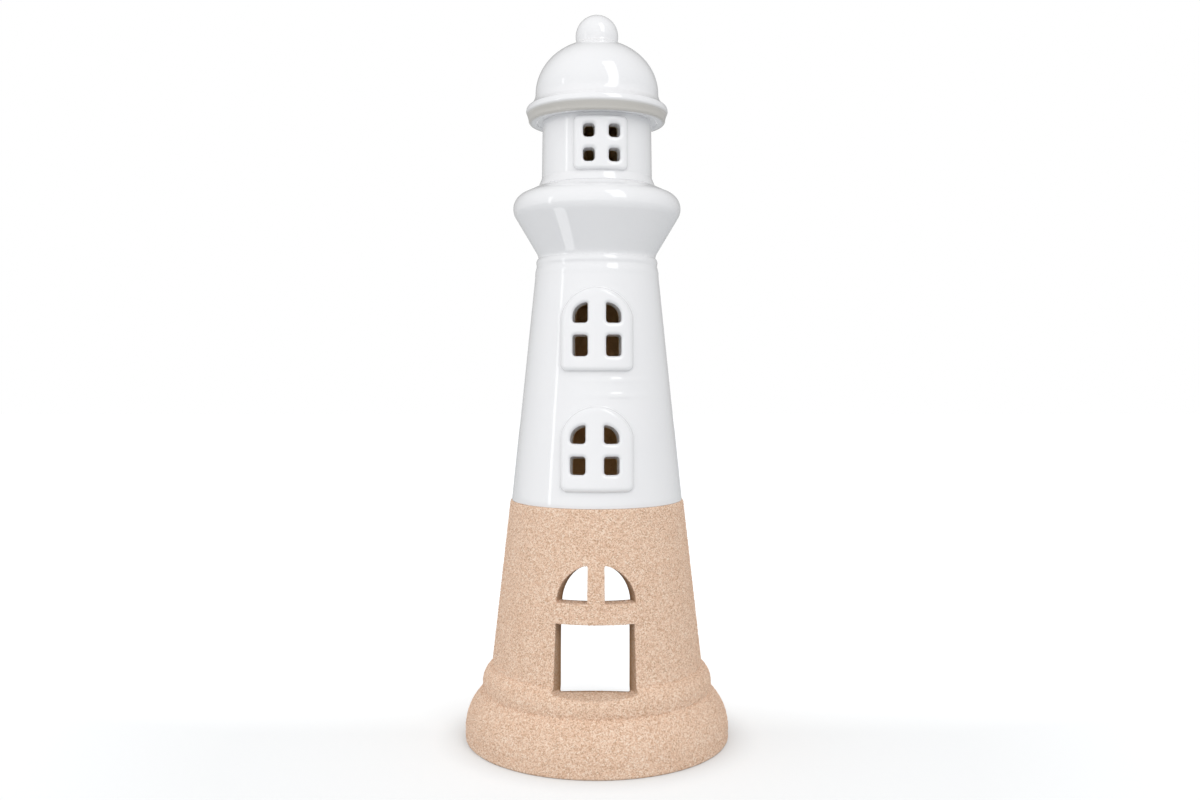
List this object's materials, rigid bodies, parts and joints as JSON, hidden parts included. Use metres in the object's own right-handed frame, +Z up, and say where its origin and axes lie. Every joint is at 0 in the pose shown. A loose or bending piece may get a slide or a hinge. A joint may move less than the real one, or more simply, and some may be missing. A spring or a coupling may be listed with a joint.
{
  "type": "lighthouse tea light holder",
  "caption": "Ceramic lighthouse tea light holder: white glazed tower with raised windows and lift-off domed roof on a sand-coated base with doorway and rear loading arch.",
  "frame": {"origin": "centre of the flat foot on the table", "axes": "+Z up the tower's axis, the doorway and windows face -Y, the loading arch faces +Y"},
  "size_m": [0.1088, 0.1088, 0.3003],
  "materials": {
    "white_glaze": "gloss",
    "sand_coat": "matte",
    "cup_aluminium": "satin",
    "wax": "satin",
    "sustainer_tin": "satin",
    "wick_cotton": "matte"
  },
  "bodies": {
    "tower": {"plinth": "sand_coat", "lower_tower": "sand_coat", "door_transom": "sand_coat", "fanlight_mullion": "sand_coat", "upper_tower": "white_glaze", "lower_window_frame": "white_glaze", "upper_window_frame": "white_glaze", "gallery": "white_glaze", "lantern_room": "white_glaze", "lantern_window_frame": "white_glaze"},
    "roof": {"roof_lid": "white_glaze", "ball_finial": "white_glaze"},
    "tea_light": {"tea_light_cup": "cup_aluminium", "tea_light_wax": "wax", "wick_sustainer": "sustainer_tin", "wick": "wick_cotton"}
  },
  "joints": [
    {"name": "roof_lift", "type": "slide", "parent": "tower", "child": "roof", "axis": [0, 0, 1], "range_m": [0, 0.06]},
    {"name": "tea_light_slide", "type": "slide", "parent": "tower", "child": "tea_light", "axis": [0, 1, 0], "range_m": [0, 0.1]}
  ]
}
